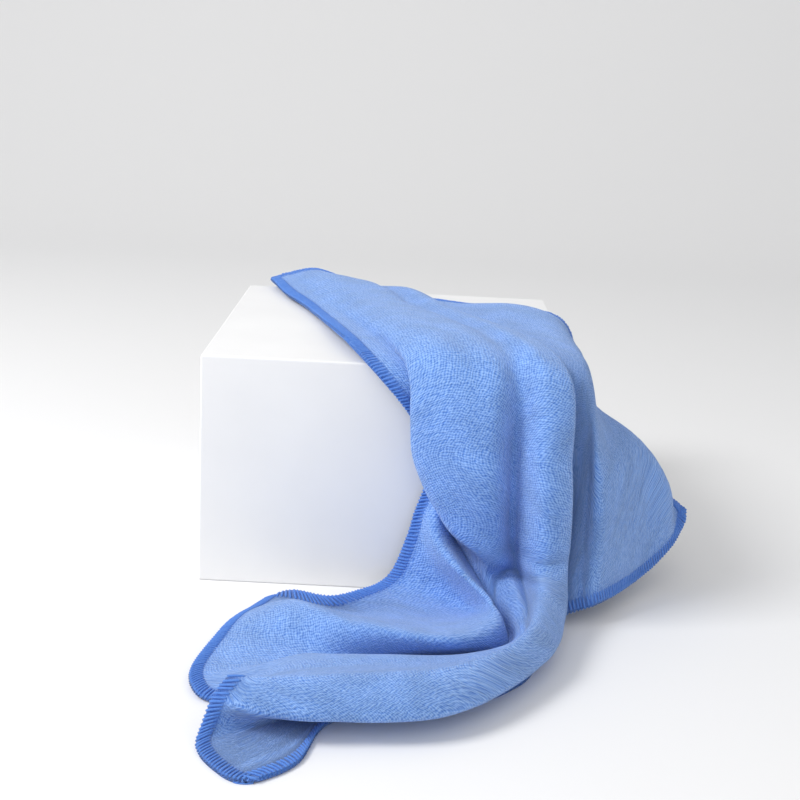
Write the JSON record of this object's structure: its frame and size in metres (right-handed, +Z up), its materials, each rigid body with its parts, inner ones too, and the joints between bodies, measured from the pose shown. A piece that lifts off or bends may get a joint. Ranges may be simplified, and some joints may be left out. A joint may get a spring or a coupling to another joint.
{
  "type": "microfibre cloth draped over a box",
  "caption": "Blue microfibre cleaning cloth with overlocked hems, draped over the lid and front edge of a plain white box and trailing onto the surface.",
  "frame": {"origin": "middle of the bottom of the whole part's bounding box, level with the surface it rests on", "axes": "+Z up, +X to the right along the box's front face, -Y towards the side the cloth falls over"},
  "size_m": [0.2361, 0.3682, 0.1248],
  "materials": {
    "white_board": "smooth plain white board",
    "blue_terry": "short looped pile"
  },
  "bodies": {
    "root": {"carton": "white_board", "cloth": "blue_terry"}
  },
  "joints": []
}
